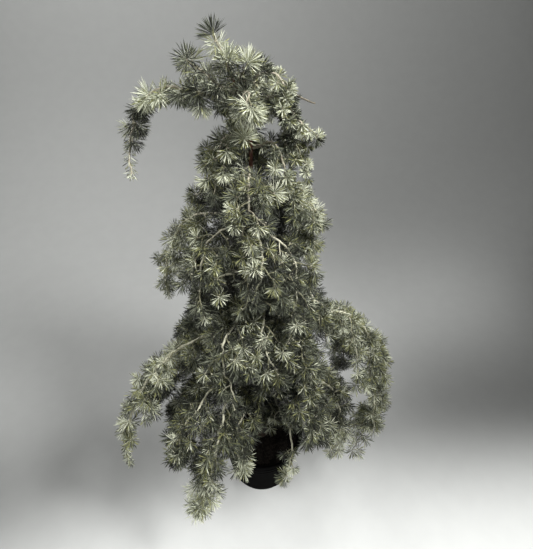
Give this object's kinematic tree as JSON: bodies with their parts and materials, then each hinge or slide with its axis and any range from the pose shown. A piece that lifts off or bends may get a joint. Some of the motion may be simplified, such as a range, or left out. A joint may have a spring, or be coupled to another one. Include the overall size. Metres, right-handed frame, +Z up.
{
  "type": "potted weeping cedar tree",
  "caption": "Young weeping blue-grey cedar with drooping boughs of needle tufts, growing in a black nursery pot.",
  "frame": {"origin": "centre of the pot's flat underside", "axes": "+Z up along the trunk; +X to the side of the long low right-hand bough; -Y to the side seen in the picture"},
  "size_m": [0.7802, 0.706, 1.4625],
  "materials": {
    "needles": "waxy grey-green needles in tufts on thin pale shoots",
    "trunk_bark": "young red-brown bark, finely fissured",
    "bough_bark": "pale grey-tan shoot bark",
    "pot_plastic": "moulded black plastic, satin",
    "compost": "moist dark compost"
  },
  "bodies": {
    "root": {"compost": "compost", "hem_back_foliage": "needles", "hem_front_foliage": "needles", "hem_left_foliage": "needles", "hem_right_foliage": "needles", "leader_foliage": "needles", "left_arm_bough": "bough_bark", "left_arm_foliage": "needles", "left_arm_tail": "needles", "neck_back_foliage": "needles", "neck_front_foliage": "needles", "neck_left_foliage": "needles", "neck_right_foliage": "needles", "pot": "pot_plastic", "shawl_right_foliage": "needles", "shoulder_back_left_foliage": "needles", "shoulder_back_right_foliage": "needles", "shoulder_front_foliage": "needles", "shoulder_front_left_foliage": "needles", "shoulder_front_right_foliage": "needles", "shoulder_left_bough": "bough_bark", "shoulder_left_foliage": "needles", "shoulder_left_tail": "needles", "shoulder_right_foliage": "needles", "skirt_back_foliage": "needles", "skirt_back_left_foliage": "needles", "skirt_back_right_foliage": "needles", "skirt_dangle_bough": "bough_bark", "skirt_dangle_foliage": "needles", "skirt_far_left_bough": "bough_bark", "skirt_far_left_foliage": "needles", "skirt_far_left_tail": "needles", "skirt_front_bough": "bough_bark", "skirt_front_foliage": "needles", "skirt_front_left_bough": "bough_bark", "skirt_front_left_foliage": "needles", "skirt_front_right_foliage": "needles", "skirt_front_tail": "needles", "skirt_left_bough": "bough_bark", "skirt_left_foliage": "needles", "skirt_middle_bough": "bough_bark", "skirt_middle_foliage": "needles", "skirt_right_bough": "bough_bark", "skirt_right_foliage": "needles", "skirt_right_low_foliage": "needles", "skirt_right_tail": "needles", "top_back_foliage": "needles", "top_front_foliage": "needles", "top_left_foliage": "needles", "top_right_foliage": "needles", "trunk": "trunk_bark", "waist_back_left_foliage": "needles", "waist_back_right_foliage": "needles", "waist_front_foliage": "needles", "waist_front_left_foliage": "needles", "waist_front_right_foliage": "needles", "waist_left_foliage": "needles", "waist_right_foliage": "needles"}
  },
  "joints": []
}
